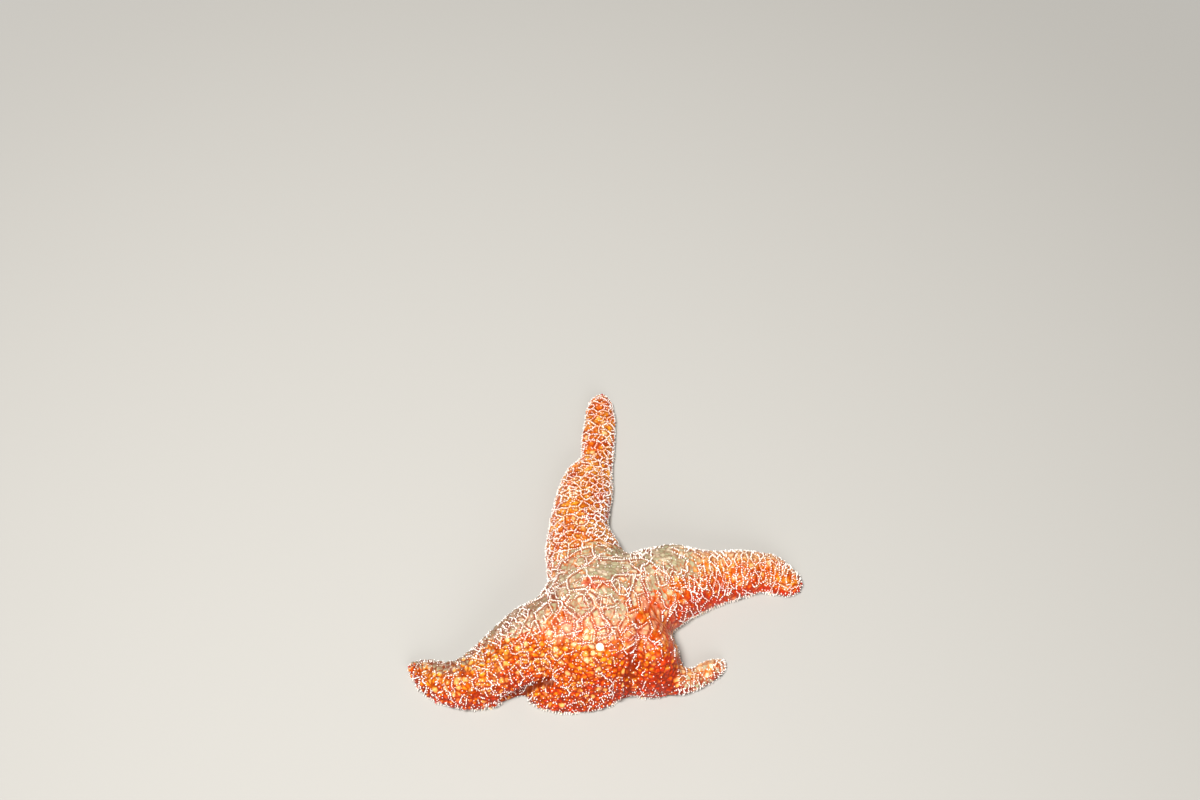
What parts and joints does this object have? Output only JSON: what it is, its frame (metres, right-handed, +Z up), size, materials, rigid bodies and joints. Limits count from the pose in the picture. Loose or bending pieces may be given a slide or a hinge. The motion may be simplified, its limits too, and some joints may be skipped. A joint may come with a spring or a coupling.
{
  "type": "starfish",
  "caption": "Orange ochre sea star resting on the floor, bent uneven arms round a humped disc, with a sieve plate on top and a mouth and grooves beneath; still, life size.",
  "frame": {"origin": "on the floor, under the middle of the whole body's box", "axes": "+Z up from the floor; +Y along the long upper arm; +X along the right arm, the longest way across"},
  "size_m": [0.2568, 0.2264, 0.0534],
  "materials": {
    "arm_skin": "wet orange skin, knobbly, with a net of white spines",
    "disc_skin": "wet orange skin dusted with pale sand",
    "calcite": "pale matt calcite, finely grooved",
    "soft_flesh": "moist pale flesh"
  },
  "bodies": {
    "root": {"central_disc": "disc_skin", "upper_arm_root": "arm_skin", "upper_arm_middle": "arm_skin", "upper_arm_tip": "arm_skin", "right_arm_root": "arm_skin", "right_arm_middle": "arm_skin", "right_arm_tip": "arm_skin", "lower_right_arm_root": "arm_skin", "lower_right_arm_tip": "arm_skin", "lower_arm": "arm_skin", "left_arm_root": "arm_skin", "left_arm_middle": "arm_skin", "left_arm_tip": "arm_skin", "madreporite": "calcite", "mouth_membrane": "soft_flesh"}
  },
  "joints": []
}
